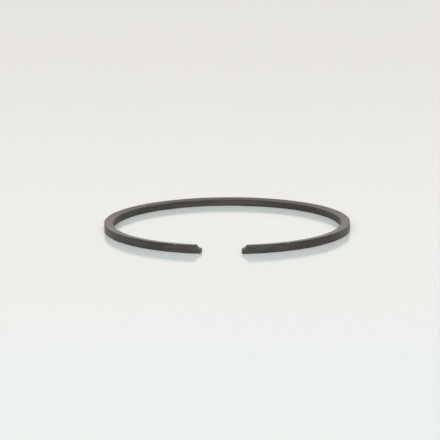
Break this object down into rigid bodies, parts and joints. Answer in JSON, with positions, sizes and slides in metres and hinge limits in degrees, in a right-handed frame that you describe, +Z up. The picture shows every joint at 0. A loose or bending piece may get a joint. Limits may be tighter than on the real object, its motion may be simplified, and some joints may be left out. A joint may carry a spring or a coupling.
{
  "type": "piston ring",
  "caption": "Split half-keystone piston ring, with an upper side that falls 7 degrees towards the inside and a round peg notch in the upper corner of each end, which seals a small engine's piston in its bore.",
  "frame": {"origin": "middle of the free ring's outline, in the plane of its lower side", "axes": "+Z up through the ring, from its lower side to the notched upper side; the gap faces -Y; +X to the right"},
  "size_m": [0.0466, 0.0452, 0.0015],
  "materials": {
    "phosphated_iron": "dark satin phosphate"
  },
  "bodies": {
    "root": {"piston_ring": "phosphated_iron"}
  },
  "joints": []
}
